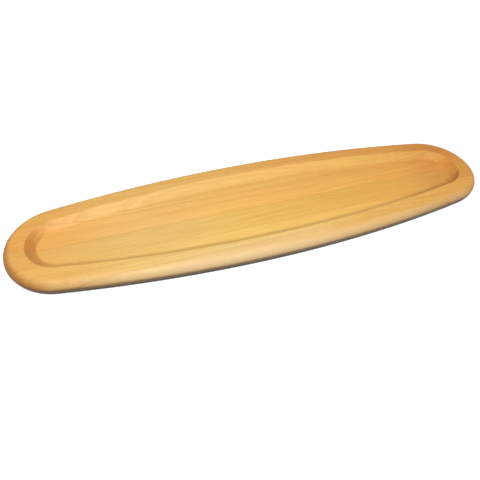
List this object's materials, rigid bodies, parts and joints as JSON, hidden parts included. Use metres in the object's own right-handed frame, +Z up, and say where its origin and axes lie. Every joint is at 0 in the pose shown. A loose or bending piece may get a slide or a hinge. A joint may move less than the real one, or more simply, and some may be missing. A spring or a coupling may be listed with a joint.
{
  "type": "serving board",
  "caption": "Long oval wooden serving board with a wide rounded rim and a shallow recess with sloping sides, glued up from lengthwise tongue-and-groove staves.",
  "frame": {"origin": "on the surface that the board rests on, under the middle of the oval", "axes": "+X along the board's length and its grain, +Y from the front long side to the rear one, +Z up out of the recess"},
  "size_m": [0.6, 0.16, 0.018],
  "materials": {
    "oiled_hardwood": "satin oil"
  },
  "bodies": {
    "root": {"front_edge_stave": "oiled_hardwood", "front_mid_stave": "oiled_hardwood", "front_centre_stave": "oiled_hardwood", "rear_centre_stave": "oiled_hardwood", "rear_mid_stave": "oiled_hardwood", "rear_edge_stave": "oiled_hardwood"}
  },
  "joints": []
}
